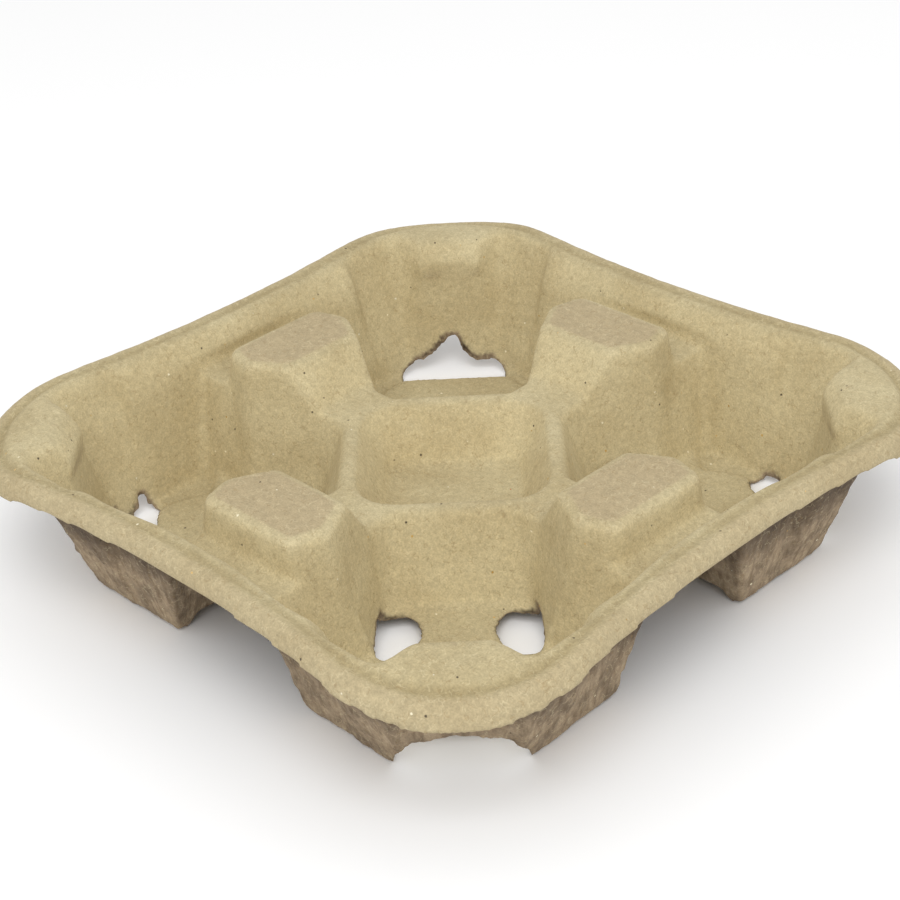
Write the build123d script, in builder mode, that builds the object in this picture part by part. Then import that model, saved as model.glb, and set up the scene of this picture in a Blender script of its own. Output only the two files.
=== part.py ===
from build123d import *
import os
from math import cos, radians, sin, sqrt, tan

os.makedirs("parts", exist_ok=True)

# Disposable drink carrier tray of moulded paper pulp, in millimetres.
# Z points up, the tray stands on z = 0, its sides run along X and Y.
# The tray is one thin sheet: the space below its upper face, less the space
# below its lower face, which is the same form one sheet thickness further in.

# Sheet and overall size
wall = 2.0               # thickness of the pulp sheet
crest_side = 211.2       # width and depth over the crest of the rim
height = 46.0            # from the ground to the crest of the rim
overrun = 5.0            # how far cutters pass the faces they cut

# Rim: a rounded square whose sides bow in and whose corners droop
side_lean = 8.5          # degrees that each bowed side has turned by at its ends
rim_corner_radius = 39.5
rim_round = 3.3          # rounding over the crest, to the outside
rim_inner_round = 3.6    # rounding of the crest, to the inside
lip_height = 6.0         # from the crest down to the free edge of the lip
lip_draft = 12.0         # degrees that the lip leans out on its way down
droop_start = 115.0      # distance from the middle where the top starts to fall
droop_radius = 45.0      # radius of that gentle fall towards the corners
droop_turn = 40.0        # degrees of that fall, more than the rim needs

# Band: the sloping strip inside the rim
band_depth = 12.0        # from the crest down to the valley behind the posts
band_foot_half = 88.5
band_foot_corner_radius = 50.0
band_draft = 30.0        # degrees

# Pit: the steep space under the band that holds the cups, with flat panels for walls
floor_height = 5.0       # upper face of the wells' floors above the ground
pit_foot_half = 82.5     # at the level of the troughs that make the feet
pit_corner_reach = 103.2     # from the middle of the tray to the panel across a corner
pit_draft = 11.0         # degrees
pit_crease_round = 8.0   # rounding between the panels
pit_foot_round = 1.5     # rounding between the troughs and the walls

# Flares: beside each corner's panel the pit leans out further, right up to the rim
flare_start = 48.0       # from the middle of the side to where a flare starts
flare_foot_end = 62.0    # where it ends, at the level of the troughs
flare_draft = 19.0       # degrees, of its long face
flare_end_draft = 12.0   # degrees, of its end face

# Feet: troughs round the outer side of each well, standing on the ground
well_offset = 50.5       # from the middle of the tray to a well's axis, in X and Y
foot_inner_radius = 26.0
foot_inner_reach = 3.0   # how far past the well's axis the troughs run inwards
foot_draft = 20.0        # degrees, of the step from floor to trough

# Posts: one in the middle of each side, level with the rim
post_drop = 0.5          # how far the pads lie below the crest of the rim
post_outer = 77.0        # outer straight edge of the pad, from the middle
post_shoulder = 66.0     # where the pad is widest
post_nose = 54.0         # inner end of the pad
post_nose_foot = 44.5    # where the sloping nose meets the ridge to the hub
post_tip = 40.0          # where the nose would end if it didn't slope
post_outer_half_width = 18.5
post_shoulder_half_width = 20.5
post_tip_half_width = 5.5
post_draft = 9.0         # degrees
post_corner = 4.0        # rounding of the corners, seen from above
post_round = 2.5         # rounding of the pad's edge

# Saddles: the ledges from each post out to the band
saddle_half_width = 20.0
saddle_draft = 15.0      # degrees

# Hub: a square ring turned 45 degrees round a sunken middle
hub_height = 31.5
hub_half = 32.0          # outer half size of the ring at its top
hub_draft = 19.0         # degrees
hub_corner = 7.0
hub_round = 2.2
hollow_floor = 14.0      # height of the sunken middle
hollow_floor_half = 19.0
hollow_draft = 27.0      # degrees
hollow_corner = 4.0
hollow_round = 3.0

# Ridges: from the hub's corners out to the noses of the posts
ridge_half_width = 10.5
ridge_draft = 12.0       # degrees
ridge_round = 2.2

# Openings, ragged where the pulp has torn away
neck_half_width = 10.5       # floor left between the two inner holes of a well
inner_hole_start = 43.0      # along the diagonal, from the middle of the tray
inner_hole_length = 20.0
inner_hole_width = 12.5
inner_tear_height = 8.0      # how far up the walls the inner holes are torn
corner_hole_start = 91.5
corner_hole_half_width = 17.0
corner_slot_length = 8.5     # of the gap in the floor, outwards
corner_hole_length = 25.0    # of the arch, outwards through the wall
arch_height = 13.0           # peak of the torn arch between two feet

# Shares of the hole's length and width, round a ragged hole
inner_hole_shares = [
    (0.00, 0.30), (0.06, 0.55), (0.10, 0.95), (0.45, 1.00), (0.96, 0.98),
    (1.00, 0.60), (0.93, 0.22), (0.62, 0.05), (0.38, 0.00), (0.14, 0.12),
]
# Shares of the half width and of the arch's height, along each corner's torn wall
right_arch_shares = [(-0.64, 0.20), (-0.55, 0.46), (-0.30, 0.52), (-0.08, 0.44), (0.0, 0.20)]
far_arch_shares = [
    (-1.00, 0.20), (-0.84, 0.30), (-0.40, 0.28), (-0.20, 0.55), (-0.10, 0.94),
    (0.04, 1.00), (0.22, 0.70), (0.50, 0.42), (0.80, 0.30), (1.00, 0.20),
]
left_arch_shares = [(-1.0, 0.20), (-0.86, 0.50), (-0.50, 0.56), (-0.28, 0.46), (-0.14, 0.20)]
near_arch_shares = [
    (-1.00, 0.20), (-0.94, 0.52), (-0.76, 0.80), (-0.42, 0.86), (-0.12, 1.00),
    (0.26, 0.90), (0.70, 0.84), (0.90, 0.55), (1.02, 0.20),
]
corner_arches = [(45, right_arch_shares), (135, far_arch_shares),
                 (225, left_arch_shares), (315, near_arch_shares)]


def spread(skin, draft):
    """How far a drafted wall stands out where its floor is lowered by the skin."""
    return skin * tan(radians(90 - draft) / 2)


def on_rim(edge):
    """Whether an edge runs along the outer side of the rim."""
    middle = edge.position_at(1 / 2)
    return max(abs(middle.X), abs(middle.Y)) > band_foot_half and abs(middle.Z - height) < lip_height


def outline(half, radius, inset):
    """A square with round corners whose sides are shallow arcs bowed inwards."""
    centre = half - radius
    side_radius = centre / sin(radians(side_lean)) - radius
    beyond = centre + centre / tan(radians(side_lean))
    with BuildSketch() as shape:
        with BuildLine():
            for turn in range(0, 360, 90):
                corner = Vector(centre, centre).rotate(Axis.Z, turn)
                facing = Vector(0, beyond).rotate(Axis.Z, turn)
                CenterArc(corner, radius - inset, turn - side_lean, 90 + 2 * side_lean)
                CenterArc(facing, side_radius + inset, turn - 90 + side_lean, -2 * side_lean)
        make_face()
    return shape.sketch


def panels(grow):
    """The pit's outline: a square with a flat panel across each corner, and round creases."""
    half = pit_foot_half + grow
    with BuildSketch() as shape:
        Rectangle(2 * half, 2 * half)
        chamfer(shape.vertices(), 2 * half - sqrt(2) * (pit_corner_reach + grow))
        fillet(shape.vertices(), pit_crease_round + grow)
    return shape.sketch


def pad(inward):
    """The outline of a post on the tray's left side, with its tip towards the hub."""
    corners = [(-post_outer + post_corner, post_outer_half_width - post_corner),
               (-post_shoulder, post_shoulder_half_width - post_corner),
               (-post_tip, post_tip_half_width - post_corner)]
    with BuildSketch() as shape:
        with BuildLine():
            Polyline(corners + [(x, -y) for x, y in reversed(corners)], close=True)
        make_face()
        offset(amount=post_corner - inward)
    return shape.sketch


def diamond(half, corner):
    """A square turned 45 degrees, with round corners."""
    with BuildSketch() as shape:
        RectangleRounded(2 * half, 2 * half, corner, rotation=45)
    return shape.sketch


def prism(shape, level, depth, draft):
    """The body from an outline at one level down by a depth, or up if the depth is negative."""
    with BuildPart() as body:
        with BuildSketch(Plane.XY.offset(level)):
            add(shape)
        extrude(amount=-depth, taper=-draft)
    return body.part


def dome(drop):
    """The space under the tray's top: level in the middle, falling gently towards the corners."""
    top = height - drop
    radius = droop_radius - drop
    with BuildPart() as space:
        with BuildSketch(Plane.XZ):
            with BuildLine():
                level = Line((0, top), (droop_start, top))
                fall = CenterArc((droop_start, top - radius), radius, 90, -droop_turn)
                Polyline(fall @ 1, (crest_side, (fall @ 1).Y), (crest_side, -overrun), (0, -overrun), level @ 0)
            make_face()
        revolve(axis=Axis.Z)
    return space.part


def block(skin):
    """The outer body of the tray, leaning out downwards as the lip does."""
    less = overrun * tan(radians(lip_draft))
    inset = skin / cos(radians(lip_draft))
    return prism(outline(crest_side / 2 - less, rim_corner_radius - less, inset),
                 height + overrun, height + 2 * overrun, lip_draft)


def band(skin):
    """The cutter for the sloping strip inside the rim, from the valley upwards."""
    return prism(outline(band_foot_half, band_foot_corner_radius, -spread(skin, band_draft)),
                 height - band_depth - skin, -band_depth - skin - overrun, band_draft)


def pit(skin):
    """The cutter for the steep space that holds the cups, down to the level of the troughs."""
    low = wall - skin
    with BuildPart() as cutter:
        add(prism(panels(spread(skin, pit_draft)), low, low - height + band_depth - overrun, pit_draft))
        fillet(cutter.faces().sort_by(Axis.Z)[0].edges(), pit_foot_round + skin)
    return cutter.part


def flares(skin):
    """The cutter for the two flares along the tray's back side, one beside each corner."""
    low, top = wall - skin, height + overrun
    rise = top - low
    face = pit_foot_half + spread(skin, flare_draft)
    end = flare_foot_end + spread(skin, flare_end_draft)
    start = flare_start - skin
    with BuildPart() as cutter:
        with BuildSketch(Plane.YZ):
            with BuildLine():
                Polyline((well_offset, low), (face, low), (face + rise * tan(radians(flare_draft)), top),
                         (well_offset, top), close=True)
            make_face()
        extrude(amount=crest_side / 2)
        with BuildSketch(Plane.XZ):
            with BuildLine():
                Polyline((start, low), (end, low), (end + rise * tan(radians(flare_end_draft)), top),
                         (start, top), close=True)
            make_face()
        extrude(amount=-crest_side, mode=Mode.INTERSECT)
        mirror(about=Plane.YZ)
    return cutter.part


def post(skin):
    """One post on the tray's left side, its pad on top and its nose sloping to the ridge."""
    top = height - post_drop
    rise, run = top - hub_height, post_nose - post_nose_foot
    back = skin * (sqrt(rise ** 2 + run ** 2) - run) / rise
    slope = run / rise
    with BuildPart() as stump:
        add(prism(pad(spread(skin, post_draft)), top - skin, top, post_draft))
        with BuildSketch(Plane.XZ):
            with BuildLine():
                Polyline((-post_nose - back - slope * overrun, top - skin + overrun),
                         (-post_nose - back + slope * (top + overrun), -skin - overrun),
                         (post_nose, -skin - overrun), (post_nose, top + overrun), close=True)
            make_face()
        extrude(amount=post_nose, both=True, mode=Mode.SUBTRACT)
        if not skin:
            fillet(stump.faces().sort_by(Axis.Z)[-1].edges(), post_round)
    return stump.part


def bar(top, half_width, draft, start, end, rounding, skin):
    """A drafted bar along X, standing on the level of the feet."""
    with BuildPart() as body:
        with BuildSketch(Plane.XY.offset(top - skin)):
            with Locations(((start + end) / 2, 0)):
                Rectangle(end - start, 2 * (half_width - spread(skin, draft)))
        extrude(amount=-top, taper=-draft)
        if rounding and not skin:
            fillet(body.faces().sort_by(Axis.Z)[-1].edges().filter_by(Axis.X), rounding)
    return body.part


def hub(skin):
    """The raised square in the middle, before it is hollowed."""
    with BuildPart() as body:
        add(prism(diamond(hub_half - spread(skin, hub_draft), hub_corner), hub_height - skin,
                  hub_height, hub_draft))
        if not skin:
            fillet(body.faces().sort_by(Axis.Z)[-1].edges(), hub_round)
    return body.part


def hollow(skin):
    """The cutter for the sunken middle of the hub."""
    low = hollow_floor - skin
    with BuildPart() as cutter:
        add(prism(diamond(hollow_floor_half + spread(skin, hollow_draft), hollow_corner), low,
                  low - hub_height - overrun, hollow_draft))
        fillet(cutter.faces().sort_by(Axis.Z)[0].edges(), hollow_round + skin)
    return cutter.part


def well_floor(skin):
    """The raised floor of one well, inside the troughs that make its feet."""
    with BuildPart() as step:
        with BuildSketch(Plane.XY.offset(floor_height - skin)):
            Circle(foot_inner_radius - spread(skin, foot_draft))
            with Locations((-foot_inner_radius + foot_inner_reach, 0)):
                Rectangle(2 * foot_inner_radius, 4 * foot_inner_radius)
        extrude(amount=wall - floor_height, taper=-foot_draft)
    return step.part


def form(skin):
    """All that lies under one face of the sheet: the upper face, or one a skin further in."""
    hub_corner_reach = hollow_floor_half * sqrt(2)
    with BuildPart() as body:
        add(block(skin))
        add(dome(skin), mode=Mode.INTERSECT)
        if not skin:
            fillet(body.edges().filter_by(on_rim), rim_round)
        add(band(skin), mode=Mode.SUBTRACT)
        if not skin:
            fillet(body.edges(Select.LAST).filter_by(on_rim), rim_inner_round)
        add(pit(skin), mode=Mode.SUBTRACT)
        with PolarLocations(0, 4):
            add(flares(skin), mode=Mode.SUBTRACT)
        with PolarLocations(well_offset * sqrt(2), 4, 45):
            add(well_floor(skin))
        with PolarLocations(0, 4):
            add(bar(height - band_depth, saddle_half_width, saddle_draft,
                    -(crest_side - lip_height) / 2, -post_shoulder, 0, skin))
            add(bar(hub_height, ridge_half_width, ridge_draft,
                    -post_shoulder, -hub_corner_reach, ridge_round, skin))
            add(post(skin))
        add(hub(skin))
        add(hollow(skin), mode=Mode.SUBTRACT)
    return body.part


def below_lip():
    """The cutter for everything outside the walls that hangs lower than the lip's free edge."""
    with BuildPart() as space:
        with Locations((0, 0, -lip_height)):
            add(dome(0))
        with BuildSketch(Plane.XY.offset(-lip_height - overrun)):
            add(outline(crest_side / 2, rim_corner_radius, rim_round))
        extrude(amount=height + overrun, mode=Mode.SUBTRACT)
    return space.part


def inner_hole():
    """The pair of ragged holes in a well's floor, beside the neck that leads to the hub."""
    with BuildPart() as cutter:
        with BuildSketch(Plane.XY.offset(-overrun)):
            with BuildLine():
                Polyline([(inner_hole_start + along * inner_hole_length,
                           neck_half_width + across * inner_hole_width)
                          for along, across in inner_hole_shares], close=True)
            make_face()
            mirror(about=Plane.XZ)
        extrude(amount=overrun + inner_tear_height)
    return cutter.part


def corner_hole(arch_shares):
    """The torn arch through a corner's wall, with the gap in the floor that leads to it."""
    tear = [(across * corner_hole_half_width, up * arch_height) for across, up in arch_shares]
    first, last = tear[0][0], tear[-1][0]
    with BuildPart() as cutter:
        with BuildSketch(Plane.YZ.offset(corner_hole_start)):
            with BuildLine():
                Polyline(tear + [(last, -overrun), (first, -overrun)], close=True)
            make_face()
        extrude(amount=corner_hole_length)
        with BuildSketch(Plane.XY.offset(-overrun)):
            with Locations((corner_hole_start + corner_slot_length / 2, (first + last) / 2)):
                Rectangle(corner_slot_length, last - first)
        extrude(amount=floor_height + 2 * overrun)
    return cutter.part


with BuildPart() as tray:
    add(form(0))
    add(form(wall), mode=Mode.SUBTRACT)
    add(below_lip(), mode=Mode.SUBTRACT)
    with PolarLocations(0, 4, 45):
        add(inner_hole(), mode=Mode.SUBTRACT)
    for turn, arch_shares in corner_arches:
        with PolarLocations(0, 1, turn):
            add(corner_hole(arch_shares), mode=Mode.SUBTRACT)

tray.part.label = "tray"
export_step(tray.part, "parts/tray.step")
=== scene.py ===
"""A disposable carrier tray for takeaway cups, moulded from paper pulp in one sheet."""
import logging
import math
from dataclasses import dataclass
from enum import Enum

import bpy
import numpy as np
from mathutils import Matrix, Vector

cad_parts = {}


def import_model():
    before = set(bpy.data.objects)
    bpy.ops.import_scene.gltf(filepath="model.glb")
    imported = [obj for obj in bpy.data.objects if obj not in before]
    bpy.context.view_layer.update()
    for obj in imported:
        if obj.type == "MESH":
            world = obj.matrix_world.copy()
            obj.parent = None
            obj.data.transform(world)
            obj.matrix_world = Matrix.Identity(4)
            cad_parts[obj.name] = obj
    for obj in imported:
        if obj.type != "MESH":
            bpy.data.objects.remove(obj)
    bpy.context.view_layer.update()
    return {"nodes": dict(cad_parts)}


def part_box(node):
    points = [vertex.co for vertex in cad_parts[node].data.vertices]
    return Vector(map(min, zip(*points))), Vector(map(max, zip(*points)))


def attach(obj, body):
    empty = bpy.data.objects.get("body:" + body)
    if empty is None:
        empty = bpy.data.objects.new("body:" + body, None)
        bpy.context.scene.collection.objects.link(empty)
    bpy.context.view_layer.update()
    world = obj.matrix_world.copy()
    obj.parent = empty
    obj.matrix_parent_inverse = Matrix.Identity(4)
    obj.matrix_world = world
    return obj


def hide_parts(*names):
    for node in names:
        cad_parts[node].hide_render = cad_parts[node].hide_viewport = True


MM = 0.001
PICTURE_SIZE = 900
CORNER_BEARINGS = (45, 135, 225, 315)       # degrees from +X
Span = tuple[float, float]
Outline = tuple[tuple[float, float], ...]
Socket = bpy.types.NodeSocket
Tree = bpy.types.NodeTree
log = logging.getLogger("tray")


def linear(code: str) -> tuple[float, float, float, float]:
    """Turns an sRGB hex colour into the linear colour that a shader takes.

    Args:
        code: The colour as "#rrggbb".

    Returns:
        Red, green, blue and an alpha of one.
    """
    shares = [int(code[i:i + 2], 16) / 255 for i in (1, 3, 5)]
    return (*[c / 12.92 if c <= 0.04045 else ((c + 0.055) / 1.055) ** 2.4 for c in shares], 1.0)


def add_node(tree: Tree, kind: str, inputs: dict | None = None, **settings) -> bpy.types.Node:
    """Adds one node with its settings, values and links.

    Args:
        tree: The node tree that gets the node.
        kind: The node's type name.
        inputs: Input name or number to a value, or to an output socket that is linked there.
        **settings: Properties of the node itself.

    Returns:
        The new node.
    """
    node = tree.nodes.new(kind)
    for name, value in settings.items():
        setattr(node, name, value)
    for key, value in (inputs or {}).items():
        if isinstance(value, Socket):
            tree.links.new(value, node.inputs[key])
        else:
            node.inputs[key].default_value = value
    return node


def only(piece: bpy.types.Object) -> None:
    """Deselects everything, then selects one piece and makes it active.

    Args:
        piece: The object to select.
    """
    bpy.ops.object.select_all(action="DESELECT")
    piece.select_set(True)
    bpy.context.view_layer.objects.active = piece


def smooth_step(low: float, high: float, values: np.ndarray) -> np.ndarray:
    """Rises smoothly from 0 at low to 1 at high.

    Args:
        low: Where the rise starts.
        high: Where it ends.
        values: What is tested.

    Returns:
        A share for each value.
    """
    share = np.clip((values - low) / (high - low), 0.0, 1.0)
    return share * share * (3 - 2 * share)


class Weight(Enum):
    """The weights that are painted on the tray, each a vertex group and a colour attribute."""

    UPPER = "upper"         # the face that lay on the mould
    UNDER = "under"         # the coarse face
    COARSE = "coarse"       # its lower part, which is ruffled
    SHELTER = "dust_and_shade"     # its upper part, under the rim, given painted shade and some dust
    # torn edges, which are roughened and given painted shade
    TORN = "torn"
    # painted highlight on convex crests
    CREST = "crest_highlight"
    PAD = "pad"
    # painted shade on level faces and the lip
    FLAT = "top_shade"
    # painted shade in concave creases and the groove
    HOLLOW = "hollow_shade"
    SOFT = "soft"
    GROOVE = "groove"

    @property
    def paint(self) -> str:
        """The colour attribute's name, which no vertex group has."""
        return self.value + "_paint"


@dataclass(frozen=True)
class Zones:
    """Where each weight starts and ends.

    Heights, reaches and insets are in millimetres. A tilt is the upward part of a face's normal, and
    a bend is how far a point stands out of its neighbours, as a share of the mesh's spacing.
    """

    upper_tilt: Span = (-0.02, 0.06)
    under_tilt: Span = (-0.06, 0.02)
    shown_tilt: Span = (0.0, 0.1)
    edge_tilt: Span = (0.15, 0.45)
    groove_tilt: Span = (0.5, 0.8)
    top_shade_tilt: Span = (0.55, 0.9)
    pad_tilt: Span = (0.93, 0.99)
    torn_bend: Span = (0.02, 0.10)
    crest_highlight_bend: Span = (0.03, 0.16)
    hollow_shade_bend: Span = (0.03, 0.2)
    dust_and_shade_height: Span = (12, 29)
    coarse_height: Span = (22, 32)
    wall_height: Span = (12, 18)
    pad_height: Span = (40, 42)
    rim_height: float = 30
    under_inset: Span = (1.2, 2.4)
    lip_inset: Span = (1.5, 4.0)
    wall_inset: Span = (3.5, 8)
    wall_reach: Span = (78, 84)
    wall_side_reach: Span = (25, 31)
    groove_side_reach: Span = (60, 76)
    pad_reach: float = 80
    inner_along: Span = (40, 67)        # of the holes nearer the middle, out to a corner
    inner_across: Span = (7, 26)
    inner_height: float = 11
    outer_along: float = 86             # of the openings in the corners
    outer_across: float = 21
    outer_height: float = 16
    groove_side_share: float = 0.5      # of its depth at the corners, along the sides
    groove_dim_share: float = 0.6       # of a crease's painted shade, in the groove
    lip_pad_share: float = 0.6          # of the pads' colour, on the lip


@dataclass(frozen=True)
class MouldedPulp:
    """Moulded recycled paper pulp, dried on a mesh mould.

    The face that lay on the mould is even and finely mottled, the other is coarse and greyer. Short
    pale and dark fibres and a few printed flecks show in it. It has no gloss. Painted highlights lie
    on its convex crests, and painted shade lies in its creases, on level faces, on torn edges and
    under the rim.
    """

    sheet: str = "#ccbe97"
    shade: str = "#bfaf87"
    underside: str = "#a9967c"
    streak: str = "#84715a"
    dust_and_shade: str = "#43362c"        # painted shade and dust on the coarse face high under the rim; also the random dirt's colour
    pad: str = "#b9a785"
    # painted highlight on convex crests
    crest_highlight: str = "#d3c7a6"
    hollow_shade: str = "#d2ccbf"         # painted shade: what a concave crease and the groove are dimmed by
    top_shade: str = "#eeeeee"           # painted shade: what a level face and the lip are dimmed by
    # painted shade on the torn edges, for their shadowed thickness
    torn: str = "#33281d"
    pad_strength: float = 0.8
    crest_highlight_strength: float = 0.35
    dirt_strength: float = 0.45
    dust_and_shade_strength: float = 0.8
    fleck_strength: float = 0.85
    torn_shade_strength: float = 0.85
    blotch_mm: float = 24.0
    dirt_mm: float = 7.0
    mottle_mm: float = 1.6
    cloud_detail: float = 3.0       # of the three above
    grain_mm: float = 0.5           # finer in the real pulp; this coarse so that it shows
    grain_detail: float = 1.0
    lump_mm: float = 2.2
    lump_detail: float = 2.0
    streak_squash: float = 0.3      # of the coordinates' height, which makes the streaks tall
    # the part of each cloud's values over which its effect rises
    blotch_span: Span = (0.35, 0.65)
    dirt_span: Span = (0.42, 0.66)
    streak_span: Span = (0.4, 0.75)
    mottle_span: Span = (0.3, 0.7)
    grain_span: Span = (0.25, 0.75)
    # how far these two darken and lighten
    mottle_levels: Span = (0.9, 1.08)
    grain_levels: Span = (0.86, 1.12)
    fibre_cell_mm: float = 2.6
    fibre_width: float = 0.055      # as a share of its cell
    fibre_curl_mm: float = 3.0
    curl_cell_mm: float = 2.4
    fibre_length_mm: float = 2.1
    fibre_fade: float = 0.05
    # each layer of fibres: how far it is moved, how much is left out, its strength and its colour
    fibres: tuple[tuple[float, float, float, str], ...] = (
        (0.0, 0.5, 0.24, "#e9dcb4"), (31 * MM, 0.54, 0.42, "#8f7750"))
    fleck_cell_mm: float = 5.0
    fleck_edge_mm: float = 0.5
    fleck_edge_cell_mm: float = 0.7
    fleck_rim: Span = (0.05, 0.085)     # from its middle, as shares of its cell
    fleck_fade: float = 0.01
    # each kind of fleck: its random channel, the value above which it is there, and its colour
    flecks: tuple[tuple[int, float, str], ...] = (
        (0, 0.62, "#3a3028"), (1, 0.72, "#efe6c8"), (2, 0.84, "#c39a4a"), (1, 0.985, "#a8442c"))
    relief_depth: float = 0.4 * MM
    relief_strength: float = 0.7
    lump_relief: float = 0.6
    grain_relief: float = 0.4
    side_relief: Span = (0.6, 0.3)      # of both, on the even face and on the coarse one
    streak_relief: float = 1.8          # on the coarse face
    roughness: float = 0.92
    specular: float = 0.25

    def _field(self, tree: Tree, place: Socket, size_mm: float, detail: float) -> Socket:
        """A cloudy field of a real grain size.

        Args:
            tree: The material's tree.
            place: The coordinates.
            size_mm: The width of one patch.
            detail: How many finer layers lie in it.

        Returns:
            A value from 0 to 1.
        """
        return add_node(tree, "ShaderNodeTexNoise",
                        {"Vector": place, "Scale": 1 / (size_mm * MM), "Detail": detail}).outputs[0]

    def _bent(self, tree: Tree, place: Socket, size_mm: float, reach_mm: float) -> Socket:
        """Coordinates that wander, so that what is drawn on them curls.

        Args:
            tree: The material's tree.
            place: The coordinates.
            size_mm: The width of one bend.
            reach_mm: How far they wander.

        Returns:
            The bent coordinates.
        """
        bend = add_node(tree, "ShaderNodeTexNoise",
                        {"Vector": place, "Scale": 1 / (size_mm * MM), "Detail": 1.0}).outputs[1]
        return add_node(tree, "ShaderNodeVectorMath", {0: bend, 1: (MM * reach_mm,) * 3, 2: place},
                        operation="MULTIPLY_ADD").outputs[0]

    def _blend(self, tree: Tree, share: Socket | float, low: Socket | str, high: Socket | str,
               how: str = "MIX") -> Socket:
        """Blends two colours.

        Args:
            tree: The material's tree.
            share: How much of the second colour.
            low: The first colour, a hex code or a socket.
            high: The second.
            how: The blend type.

        Returns:
            The blended colour.
        """
        pair = [linear(c) if isinstance(c, str) else c for c in (low, high)]
        return add_node(tree, "ShaderNodeMix", {0: share, 6: pair[0], 7: pair[1]},
                        data_type="RGBA", blend_type=how).outputs[2]

    def _ramp(self, tree: Tree, value: Socket, span: Span, levels: Span = (0.0, 1.0)) -> Socket:
        """Maps a value's range to another, held at both ends.

        Args:
            tree: The material's tree.
            value: What is mapped.
            span: Where the range starts and ends.
            levels: The results there.

        Returns:
            The mapped value.
        """
        return add_node(tree, "ShaderNodeMapRange", {0: value, 1: span[0], 2: span[1], 3: levels[0],
                                                     4: levels[1]}).outputs[0]

    def _join(self, tree: Tree, one: Socket, other: Socket | float, how: str = "MULTIPLY") -> Socket:
        """Joins two values by one sum.

        Args:
            tree: The material's tree.
            one: The first value.
            other: The second.
            how: The sum's type.

        Returns:
            The result.
        """
        return add_node(tree, "ShaderNodeMath", {0: one, 1: other}, operation=how).outputs[0]

    def _fibres(self, tree: Tree, place: Socket, shift: float, cut: float) -> Socket:
        """Short curled fibres.

        Args:
            tree: The material's tree.
            place: The coordinates.
            shift: How far this layer is moved, in metres.
            cut: How much of the net is left out, from 0 to 1.

        Returns:
            A mask that is 1 on the fibres.
        """
        moved = add_node(tree, "ShaderNodeMapping",
                         {0: place, 1: (shift, -shift, shift / 2)}).outputs[0]
        curled = self._bent(tree, moved, self.curl_cell_mm, self.fibre_curl_mm)
        net = add_node(tree, "ShaderNodeTexVoronoi",
                       {"Vector": curled, "Scale": 1 / (self.fibre_cell_mm * MM)},
                       feature="DISTANCE_TO_EDGE").outputs[0]
        line = self._ramp(tree, net, (0.0, self.fibre_width), (1.0, 0.0))
        breaks = self._field(tree, moved, self.fibre_length_mm, self.grain_detail)
        return self._join(tree, line, self._ramp(tree, breaks, (cut, cut + self.fibre_fade)))

    def _clean(self, tree: Tree, place: Socket, weights: dict[Weight, Socket],
               streaks: Socket) -> Socket:
        """The sheet's plain colours, by the side and the place that they lie on, with painted
        highlights on convex crests and painted shade on level faces, in creases and under the rim.

        Args:
            tree: The material's tree.
            place: The coordinates.
            weights: The painted weights.
            streaks: Upright clouds that darken the coarse side.

        Returns:
            The colour before its grain.
        """
        pads = self._join(tree, weights[Weight.PAD], self.pad_strength)
        crest_highlights = self._join(tree, weights[Weight.CREST], self.crest_highlight_strength)
        blotch = self._field(tree, place, self.blotch_mm, self.cloud_detail)
        blotch = self._ramp(tree, blotch, self.blotch_span)
        colour = self._blend(tree, blotch, self.shade, self.sheet)
        colour = self._blend(tree, pads, colour, self.pad)
        # painted highlight on convex crests
        colour = self._blend(tree, crest_highlights, colour, self.crest_highlight)
        # painted shade on level faces and the lip
        colour = self._blend(tree, weights[Weight.FLAT], colour, self.top_shade, "MULTIPLY")
        # painted shade in concave creases and the groove
        colour = self._blend(tree, weights[Weight.HOLLOW], colour, self.hollow_shade, "MULTIPLY")

        dirt = self._field(tree, place, self.dirt_mm, self.cloud_detail)
        dirt = self._join(tree, self._ramp(tree, dirt, self.dirt_span), self.dirt_strength)
        # painted shade under the rim on the coarse face, with some dust
        dust_and_shade_share = self._join(tree, weights[Weight.SHELTER], self.dust_and_shade_strength)
        streaked = self._ramp(tree, streaks, self.streak_span)
        coarse = self._blend(tree, streaked, self.underside, self.streak)
        coarse = self._blend(tree, dirt, coarse, self.dust_and_shade)
        coarse = self._blend(tree, dust_and_shade_share, coarse, self.dust_and_shade)
        return self._blend(tree, weights[Weight.UNDER], colour, coarse)

    def _grained(self, tree: Tree, mottle: Socket, grain: Socket, colour: Socket) -> Socket:
        """Darkens and lightens a colour by the pulp's mottling and grain.

        Args:
            tree: The material's tree.
            mottle: The coarser clouds.
            grain: The finer ones.
            colour: What they lie on.

        Returns:
            The grained colour.
        """
        level = self._join(tree, self._ramp(tree, mottle, self.mottle_span, self.mottle_levels),
                           self._ramp(tree, grain, self.grain_span, self.grain_levels))
        grey = add_node(tree, "ShaderNodeCombineColor", {0: level, 1: level, 2: level}).outputs[0]
        return self._blend(tree, 1.0, colour, grey, "MULTIPLY")

    def _flecked(self, tree: Tree, place: Socket, colour: Socket) -> Socket:
        """Strews small flecks of recycled print and bark over a colour.

        Args:
            tree: The material's tree.
            place: The coordinates.
            colour: What they lie on.

        Returns:
            The flecked colour.
        """
        ragged = self._bent(tree, place, self.fleck_edge_cell_mm, self.fleck_edge_mm)
        cells = add_node(tree, "ShaderNodeTexVoronoi",
                         {"Vector": ragged, "Scale": 1 / (self.fleck_cell_mm * MM)})
        spot = self._ramp(tree, cells.outputs["Distance"], self.fleck_rim, (1.0, 0.0))
        kind = add_node(tree, "ShaderNodeSeparateColor", {0: cells.outputs["Color"]})
        for channel, cut, code in self.flecks:
            picked = self._ramp(tree, kind.outputs[channel], (cut, cut + self.fleck_fade))
            share = self._join(tree, self._join(tree, spot, picked), self.fleck_strength)
            colour = self._blend(tree, share, colour, code)
        return colour

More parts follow.
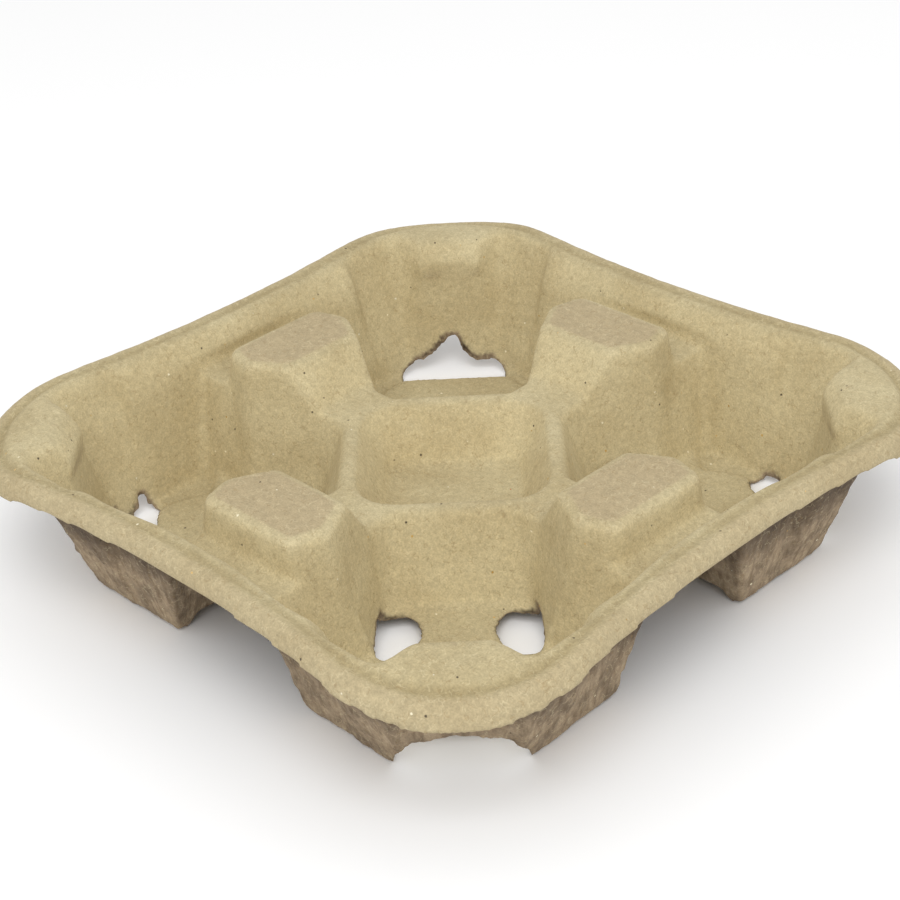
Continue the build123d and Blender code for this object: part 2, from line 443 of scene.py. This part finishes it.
    def _relief(self, tree: Tree, place: Socket, grain: Socket, streaks: Socket,
                under: Socket) -> Socket:
        """The fine relief: lumps and grain on both faces, and upright streaks on the coarse one.

        Args:
            tree: The material's tree.
            place: The coordinates.
            grain: The fine clouds.
            streaks: The upright ones.
            under: The coarse face's weight.

        Returns:
            The bumped normal.
        """
        lumps = self._field(tree, place, self.lump_mm, self.lump_detail)
        height = self._join(tree, self._join(tree, lumps, self.lump_relief),
                            self._join(tree, grain, self.grain_relief), "ADD")
        height = self._join(tree, self._ramp(tree, under, (0.0, 1.0), self.side_relief), height)
        streaked = self._join(tree, self._join(tree, streaks, self.streak_relief), under)
        height = self._join(tree, height, streaked, "ADD")
        return add_node(tree, "ShaderNodeBump",
                        {"Height": height, "Distance": self.relief_depth,
                         "Strength": self.relief_strength}).outputs[0]

    def make(self) -> bpy.types.Material:
        """Builds the material.

        Returns:
            The finished material.
        """
        material = bpy.data.materials.new("moulded_pulp")
        material.use_nodes = True
        tree = material.node_tree
        tree.nodes.clear()
        place = add_node(tree, "ShaderNodeTexCoord").outputs["Object"]
        weights = {w: add_node(tree, "ShaderNodeAttribute", attribute_name=w.paint).outputs["Fac"]
                   for w in Weight}
        mottle = self._field(tree, place, self.mottle_mm, self.cloud_detail)
        grain = self._field(tree, place, self.grain_mm, self.grain_detail)
        upright = add_node(tree, "ShaderNodeMapping",
                           {0: place, 3: (1.0, 1.0, self.streak_squash)}).outputs[0]
        streaks = self._field(tree, upright, self.mottle_mm, self.cloud_detail)

        colour = self._clean(tree, place, weights, streaks)
        colour = self._grained(tree, mottle, grain, colour)
        for shift, cut, strength, code in self.fibres:
            share = self._join(tree, self._fibres(tree, place, shift, cut), strength)
            colour = self._blend(tree, share, colour, code)
        colour = self._flecked(tree, place, colour)
        # painted shade on the torn edges
        torn = self._join(tree, weights[Weight.TORN], self.torn_shade_strength)
        colour = self._blend(tree, torn, colour, self.torn)

        bump = self._relief(tree, place, grain, streaks, weights[Weight.UNDER])
        shader = add_node(tree, "ShaderNodeBsdfPrincipled",
                          {"Base Color": colour, "Roughness": self.roughness, "Normal": bump,
                           "Specular IOR Level": self.specular})
        add_node(tree, "ShaderNodeOutputMaterial", {"Surface": shader.outputs[0]})
        return material


@dataclass(frozen=True)
class Ruffle:
    """One layer of lumps that pushes the sheet in and out."""

    where: Weight
    size: float             # the width of one lump
    depth: float            # the whole height of the lumps
    upright: float = 1.0    # how many times longer they are in height than in width


@dataclass
class PulpSheet:
    """The tray's sheet: the solid's form, softened and roughened as wet pulp dries."""

    node: bpy.types.Object
    pulp: MouldedPulp
    zones: Zones = Zones()
    voxel: float = 1.3 * MM
    kept_share: float = 0.79            # of the triangles, which keeps them under 200,000
    smoothing: float = 0.5
    softening: int = 3
    wall_softening: int = 24
    normal_softening: int = 4
    weight_steps: int = 20
    merge_reach: float = 0.002 * MM
    groove_depth: float = 1.3 * MM
    ruffles: tuple[Ruffle, ...] = (
        Ruffle(Weight.UPPER, 11 * MM, 0.4 * MM), Ruffle(Weight.UPPER, 2.6 * MM, 0.14 * MM),
        Ruffle(Weight.COARSE, 2.6 * MM, 0.9 * MM, 3.0), Ruffle(Weight.TORN, 2.6 * MM, 1.3 * MM))
    ruffle_detail: int = 2
    rim_corner_centre: float = 66.1     # millimetres, as are the sizes below
    rim_corner_radius: float = 39.5
    rim_side_radius: float = 407.7      # of the rim's bowed sides
    groove_inset: float = 4.6           # from the rim's outline to the groove inside it
    groove_width: float = 1.5
    gap_reach: float = 107.4            # from the middle to the band's foot at a corner
    gap_top: float = 39.0               # where the band's foot and the well's wall should meet
    gap_half_width: float = 10.5
    # the wedge that closes a gap, outwards and upwards from the band's foot
    wedge: Outline = ((0.0, 0.4), (1.0, 2.2), (4.2, 2.0), (4.7, -1.0), (0.2, -22.0), (-1.4, -23.0),
                      (-0.5, -15.0), (0.1, -7.0))
    tear_foot: float = -2.0
    tear_top: float = 9.0
    # the corner's bearing, then the tear's points outwards and across
    tears: tuple[tuple[float, Outline], ...] = (
        (225, ((91.5, -3.0), (90.0, -9.0), (91.0, -14.0), (89.6, -19.5), (91.6, -24.0),
               (96.0, -24.4), (98.6, -18.5), (99.0, -9.0), (98.2, -3.0))),
        (45, ((91.8, -2.0), (91.0, 5.0), (90.4, 10.0), (88.6, 15.5), (89.6, 22.0),
              (94.2, 24.4), (98.0, 20.0), (98.8, 6.0), (98.0, -2.0))))

    def build(self) -> bpy.types.Object:
        """Makes the piece from a copy of the solid.

        Returns:
            The finished piece.
        """
        piece = self._copy()
        self._tear_floor(piece)
        self._close_gaps(piece)
        self._modify(piece, "REMESH", mode="VOXEL", voxel_size=self.voxel, use_smooth_shade=True)
        self._paint(piece)
        self._modify(piece, "SMOOTH", factor=self.smoothing, iterations=self.softening)
        self._modify(piece, "SMOOTH", factor=self.smoothing, iterations=self.wall_softening,
                     vertex_group=Weight.SOFT.value)
        self._paint(piece)
        for ruffle in self.ruffles:
            self._ruffle(piece, ruffle)
        self._modify(piece, "SMOOTH", factor=self.smoothing, iterations=1,
                     vertex_group=Weight.TORN.value)
        self._modify(piece, "DISPLACE", direction="Z", strength=-self.groove_depth, mid_level=0.0,
                     vertex_group=Weight.GROOVE.value)
        self._hold_box(piece)
        self._paint(piece)
        self._modify(piece, "DECIMATE", ratio=self.kept_share)
        self._hold_box(piece)
        piece.vertex_groups.clear()
        piece.data.materials.clear()
        piece.data.materials.append(self.pulp.make())
        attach(piece, "root")
        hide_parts("tray")
        return piece

    def _copy(self) -> bpy.types.Object:
        """Copies the solid's mesh and merges its loose triangles.

        Returns:
            The copy.
        """
        mesh = self.node.data.copy()
        piece = bpy.data.objects.new("pulp_sheet", mesh)
        bpy.context.scene.collection.objects.link(piece)
        piece.matrix_world = self.node.matrix_world.copy()
        only(piece)
        bpy.ops.object.transform_apply(location=True, rotation=True, scale=True)
        bpy.ops.object.mode_set(mode="EDIT")
        bpy.ops.mesh.select_all(action="SELECT")
        bpy.ops.mesh.remove_doubles(threshold=self.merge_reach)
        bpy.ops.object.mode_set(mode="OBJECT")
        return piece

    def _corner_axes(self, bearing: float) -> tuple[Vector, Vector]:
        """Gives the level directions out to a corner and across it.

        Args:
            bearing: The corner's bearing from +X, in degrees.

        Returns:
            The direction outwards and the one to its left.
        """
        turn = math.radians(bearing)
        return Vector((math.cos(turn), math.sin(turn))), Vector((-math.sin(turn), math.cos(turn)))

    def _prism(self, rings: list[list[tuple[float, float, float]]]) -> bpy.types.Object:
        """Makes a closed body between two rings of as many points.

        Args:
            rings: The two rings, in millimetres.

        Returns:
            The new object.
        """
        count = len(rings[0])
        faces = [tuple(range(count)), tuple(range(2 * count - 1, count - 1, -1))]
        faces += [((i + 1) % count, i, i + count, (i + 1) % count + count) for i in range(count)]
        mesh = bpy.data.meshes.new("prism")
        mesh.from_pydata([[c * MM for c in p] for ring in rings for p in ring], [], faces)
        body = bpy.data.objects.new("prism", mesh)
        bpy.context.scene.collection.objects.link(body)
        only(body)
        bpy.ops.object.mode_set(mode="EDIT")
        bpy.ops.mesh.select_all(action="SELECT")
        bpy.ops.mesh.normals_make_consistent(inside=False)
        bpy.ops.object.mode_set(mode="OBJECT")
        return body

    def _tear_floor(self, piece: bpy.types.Object) -> None:
        """Widens the torn gaps in the left and right wells' floors, as far as they are seen to reach.

        Args:
            piece: The object that is changed.
        """
        for bearing, outline in self.tears:
            out, side = self._corner_axes(bearing)
            tool = self._prism([[(*(out * r + side * s), z) for r, s in outline]
                                for z in (self.tear_foot, self.tear_top)])
            self._modify(piece, "BOOLEAN", object=tool, operation="DIFFERENCE", solver="EXACT")
            bpy.data.objects.remove(tool)

    def _close_gaps(self, piece: bpy.types.Object) -> None:
        """Joins a wedge to each corner, where the band's foot and the well's wall leave a slit.

        Args:
            piece: The object that is changed.
        """
        wedges = []
        for bearing in CORNER_BEARINGS:
            out, side = self._corner_axes(bearing)
            wedges.append(self._prism([
                [(*(out * (self.gap_reach + r) + side * s), self.gap_top + z) for r, z in self.wedge]
                for s in (-self.gap_half_width, self.gap_half_width)]))
        only(piece)
        for wedge in wedges:
            wedge.select_set(True)
        bpy.ops.object.join()

    def _modify(self, piece: bpy.types.Object, kind: str, **settings) -> None:
        """Adds one modifier and applies it.

        Args:
            piece: The object that is changed.
            kind: The modifier's type.
            **settings: The modifier's own settings.
        """
        only(piece)
        modifier = piece.modifiers.new(kind.lower(), kind)
        for name, value in settings.items():
            setattr(modifier, name, value)
        bpy.ops.object.modifier_apply(modifier=modifier.name)

    def _ruffle(self, piece: bpy.types.Object, ruffle: Ruffle) -> None:
        """Pushes the surface in and out in a cloudy pattern.

        Args:
            piece: The object that is changed.
            ruffle: The layer of lumps.
        """
        clouds = bpy.data.textures.new("lumps", "CLOUDS")
        clouds.noise_scale = ruffle.size
        clouds.noise_depth = self.ruffle_detail
        bpy.ops.object.empty_add(location=(0, 0, 0))
        ruler = bpy.context.object
        ruler.scale = (1, 1, ruffle.upright)
        bpy.context.view_layer.update()
        self._modify(piece, "DISPLACE", texture=clouds, texture_coords="OBJECT",
                     texture_coords_object=ruler, strength=ruffle.depth, mid_level=0.5,
                     vertex_group=ruffle.where.value)
        bpy.data.objects.remove(ruler)
        bpy.data.textures.remove(clouds)

    def _measure(self, piece: bpy.types.Object) -> tuple[np.ndarray, np.ndarray, np.ndarray]:
        """Reads the mesh.

        Args:
            piece: The object.

        Returns:
            The points, their normals and the bend at each, positive where it bulges.
        """
        mesh = piece.data
        points = np.empty(len(mesh.vertices) * 3)
        normals = np.empty(len(mesh.vertices) * 3)
        pairs = np.empty(len(mesh.edges) * 2, dtype=np.int64)
        mesh.vertices.foreach_get("co", points)
        mesh.vertices.foreach_get("normal", normals)
        mesh.edges.foreach_get("vertices", pairs)
        points, normals, pairs = points.reshape(-1, 3), normals.reshape(-1, 3), pairs.reshape(-1, 2)
        count = np.bincount(pairs.ravel(), minlength=len(points)).clip(1)

        def mean(values: np.ndarray) -> np.ndarray:
            """The mean of each point's neighbours."""
            total = np.stack([np.bincount(pairs[:, 0], values[pairs[:, 1], i], len(points))
                              + np.bincount(pairs[:, 1], values[pairs[:, 0], i], len(points))
                              for i in range(values.shape[1])], axis=1)
            return total / count[:, None]

        bend = ((points - mean(points)) * normals).sum(axis=1)[:, None]
        for _ in range(self.normal_softening):
            bend = mean(bend)
            normals = mean(normals)
        normals /= np.linalg.norm(normals, axis=1)[:, None]
        return points, normals, bend[:, 0] / self.voxel

    def _paint(self, piece: bpy.types.Object) -> None:
        """Writes each weight as a vertex group and as a colour attribute.

        Args:
            piece: The object that is painted.
        """
        zones = self.zones
        points, normals, bend = self._measure(piece)
        x, y, z = (np.abs(points) / MM).T
        up = normals[:, 2]
        outside, inside = np.maximum(x, y), np.minimum(x, y)
        inset = self._inset(x, y)
        on_rim = z > zones.rim_height

        edge = 1 - smooth_step(*zones.edge_tilt, np.abs(up))
        shown = smooth_step(*zones.shown_tilt, up)
        below = (1 - smooth_step(*zones.under_tilt, up)) * smooth_step(*zones.under_inset, inset)
        lip = (1 - smooth_step(*zones.lip_inset, inset)) * on_rim
        ring = np.exp(-((inset - self.groove_inset) / self.groove_width) ** 2) * on_rim
        pads = smooth_step(*zones.pad_tilt, up) * smooth_step(*zones.pad_height, z)
        pads *= outside < zones.pad_reach
        side_share = zones.groove_side_share
        ring_depth = side_share + (1 - side_share) * smooth_step(*zones.groove_side_reach, inside)
        # painted shade in concave creases and in the groove
        hollow_shades = np.maximum(smooth_step(*zones.hollow_shade_bend, -bend), zones.groove_dim_share * ring)
        weights = {
            Weight.UPPER: smooth_step(*zones.upper_tilt, up),
            Weight.UNDER: below,
            Weight.COARSE: below * (1 - smooth_step(*zones.coarse_height, z)),
            # painted shade on the coarse face under the rim, with some dust
            Weight.SHELTER: below * smooth_step(*zones.dust_and_shade_height, z),
            # torn edges: roughened, and given painted shade
            Weight.TORN: np.where(self._near_tears(x, y, z), edge, 0.0)
            * smooth_step(*zones.torn_bend, bend),
            # painted highlight on convex crests
            Weight.CREST: smooth_step(*zones.crest_highlight_bend, bend) * shown,
            # painted shade in concave creases and the groove
            Weight.HOLLOW: hollow_shades * shown,
            Weight.PAD: np.maximum(pads, zones.lip_pad_share * lip),
            # painted shade on level faces and the lip
            Weight.FLAT: np.maximum(smooth_step(*zones.top_shade_tilt, up), lip),
            Weight.SOFT: smooth_step(*zones.wall_reach, outside)
            * smooth_step(*zones.wall_side_reach, inside)
            * smooth_step(*zones.wall_height, z) * smooth_step(*zones.wall_inset, inset),
            Weight.GROOVE: ring * smooth_step(*zones.groove_tilt, up) * ring_depth,
        }
        for name, share in weights.items():
            self._store(piece, name, share)

    def _near_tears(self, x: np.ndarray, y: np.ndarray, z: np.ndarray) -> np.ndarray:
        """Tells which places lie round the torn openings.

        Args:
            x: Distances from the middle along X, in millimetres and never negative.
            y: The same along Y.
            z: The same upwards.

        Returns:
            True for each place near an opening.
        """
        zones = self.zones
        along, across = (x + y) / math.sqrt(2), np.abs(x - y) / math.sqrt(2)
        inner = (along > zones.inner_along[0]) & (along < zones.inner_along[1])
        inner &= (across > zones.inner_across[0]) & (across < zones.inner_across[1])
        inner &= z < zones.inner_height
        outer = (along > zones.outer_along) & (across < zones.outer_across)
        outer &= z < zones.outer_height
        return inner | outer

    def _inset(self, x: np.ndarray, y: np.ndarray) -> np.ndarray:
        """How far places lie inside the rim's outline.

        Args:
            x: Distances from the middle along X, in millimetres and never negative.
            y: The same along Y.

        Returns:
            The distances to the outline, in millimetres.
        """
        centre = self.rim_corner_centre
        corner = self.rim_corner_radius - np.hypot(x - centre, y - centre)
        reach = math.sqrt((self.rim_side_radius + self.rim_corner_radius) ** 2 - centre ** 2)
        side = np.hypot(centre + reach - np.maximum(x, y), np.minimum(x, y)) - self.rim_side_radius
        return np.where((x > centre) & (y > centre), corner, side)

    def _store(self, piece: bpy.types.Object, name: Weight, share: np.ndarray) -> None:
        """Stores one weight on the mesh.

        Args:
            piece: The object.
            name: The weight.
            share: Its value at each point.
        """
        if name.value in piece.vertex_groups:
            piece.vertex_groups.remove(piece.vertex_groups[name.value])
        group = piece.vertex_groups.new(name=name.value)
        steps = np.round(share * self.weight_steps).astype(int)
        for step in range(1, self.weight_steps + 1):
            group.add(np.nonzero(steps == step)[0].tolist(), step / self.weight_steps, "REPLACE")
        paint = piece.data.attributes.get(name.paint)
        if paint is None:
            paint = piece.data.attributes.new(name.paint, "FLOAT_COLOR", "POINT")
        colours = np.repeat(share[:, None], 4, axis=1)
        colours[:, 3] = 1.0
        paint.data.foreach_set("color", colours.ravel())

    def _hold_box(self, piece: bpy.types.Object) -> None:
        """Keeps every point inside the solid's own box.

        Args:
            piece: The object that is changed.
        """
        low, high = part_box("tray")
        points = np.empty(len(piece.data.vertices) * 3)
        piece.data.vertices.foreach_get("co", points)
        points = np.clip(points.reshape(-1, 3), low, high)
        piece.data.vertices.foreach_set("co", points.ravel())
        piece.data.update()


@dataclass
class Studio:
    """A white table and surround under plain soft light."""

    light_level: float = 0.84
    key_power: float = 10.0
    key_size: float = 0.9
    key_place: tuple[float, float, float] = (0.62, -0.62, 1.2)
    table_half: float = 9.0
    table_drop: float = 0.3 * MM
    card_colour: str = "#fafafa"
    card_roughness: float = 0.9

    def build(self) -> None:
        """Makes the table, the surround and the lamp."""
        bpy.ops.mesh.primitive_plane_add(size=2 * self.table_half, location=(0, 0, -self.table_drop))
        table = bpy.context.object
        table.name = "table_top"
        only(table)
        bpy.ops.object.transform_apply(location=True)
        table.data.materials.append(self._card())
        self._surround()
        bpy.ops.object.light_add(type="AREA", location=self.key_place)
        lamp = bpy.context.object
        lamp.data.energy = self.key_power
        lamp.data.size = self.key_size
        lamp.rotation_euler = Vector(self.key_place).to_track_quat("Z", "Y").to_euler()

    def _card(self) -> bpy.types.Material:
        """Makes white card, lit so that it shows as white paper with the tray's shadow on it.

        Returns:
            The material.
        """
        material = bpy.data.materials.new("white_card")
        material.use_nodes = True
        shader = material.node_tree.nodes["Principled BSDF"]
        shader.inputs["Base Color"].default_value = linear(self.card_colour)
        shader.inputs["Roughness"].default_value = self.card_roughness
        shader.inputs["Specular IOR Level"].default_value = 0.0
        return material

    def _surround(self) -> None:
        """Shows plain white to the eye and in reflections, and lights evenly."""
        world = bpy.data.worlds.new("white_room")
        bpy.context.scene.world = world
        world.use_nodes = True
        tree = world.node_tree
        tree.nodes.clear()
        path = add_node(tree, "ShaderNodeLightPath")
        seen = add_node(tree, "ShaderNodeMath", {0: path.outputs["Is Camera Ray"],
                                                 1: path.outputs["Is Glossy Ray"]}, operation="ADD")
        seen = add_node(tree, "ShaderNodeMath", {0: seen.outputs[0],
                                                 1: path.outputs["Is Transmission Ray"]},
                        operation="ADD", use_clamp=True)
        dim = add_node(tree, "ShaderNodeBackground", {1: self.light_level})
        bright = add_node(tree, "ShaderNodeBackground", {1: 1.0})
        dim.inputs[0].default_value = bright.inputs[0].default_value = (1, 1, 1, 1)
        mix = add_node(tree, "ShaderNodeMixShader", {0: seen.outputs[0], 1: dim.outputs[0],
                                                     2: bright.outputs[0]})
        add_node(tree, "ShaderNodeOutputWorld", {"Surface": mix.outputs[0]})


@dataclass
class Viewpoint:
    """The camera, placed as the photograph's was."""

    azimuth: float = 46.2
    elevation: float = 30.9
    distance: float = 571.6 * MM
    roll: float = -3.4
    aim_height: float = 31.4 * MM
    focal_pixels: float = 1985.4
    centre_pixels: tuple[float, float] = (452.3, 449.0)
    film_width: float = 36.0

    def build(self) -> None:
        """Adds the camera and makes it the scene's."""
        turn, rise, roll = (math.radians(a) for a in (self.azimuth, self.elevation, self.roll))
        back = Vector((math.sin(turn) * math.cos(rise), -math.cos(turn) * math.cos(rise),
                       math.sin(rise)))
        right = (-back).cross(Vector((0, 0, 1))).normalized()
        above = right.cross(-back)
        side = right * math.cos(roll) + above * math.sin(roll)
        top = above * math.cos(roll) - right * math.sin(roll)
        eye = back * self.distance + Vector((0, 0, self.aim_height))
        lens = bpy.data.cameras.new("camera")
        lens.sensor_width = self.film_width
        lens.lens = self.focal_pixels / PICTURE_SIZE * self.film_width
        half = PICTURE_SIZE / 2
        lens.shift_x = (half - self.centre_pixels[0]) / PICTURE_SIZE
        lens.shift_y = (self.centre_pixels[1] - half) / PICTURE_SIZE
        camera = bpy.data.objects.new("camera", lens)
        bpy.context.scene.collection.objects.link(camera)
        camera.matrix_world = Matrix.Translation(eye) @ Matrix((side, top, back)).transposed().to_4x4()
        bpy.context.scene.camera = camera


def main() -> None:
    """Builds the tray, the studio and the camera."""
    logging.basicConfig(level=logging.INFO, format="%(message)s")
    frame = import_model()
    bpy.context.scene.view_settings.view_transform = "Standard"
    Viewpoint().build()
    log.info("camera placed")
    piece = PulpSheet(frame["nodes"]["tray"], MouldedPulp()).build()
    log.info("%s: %d faces", piece.name, len(piece.data.polygons))
    Studio().build()
    log.info("studio lit")


if __name__ == "__main__":
    main()
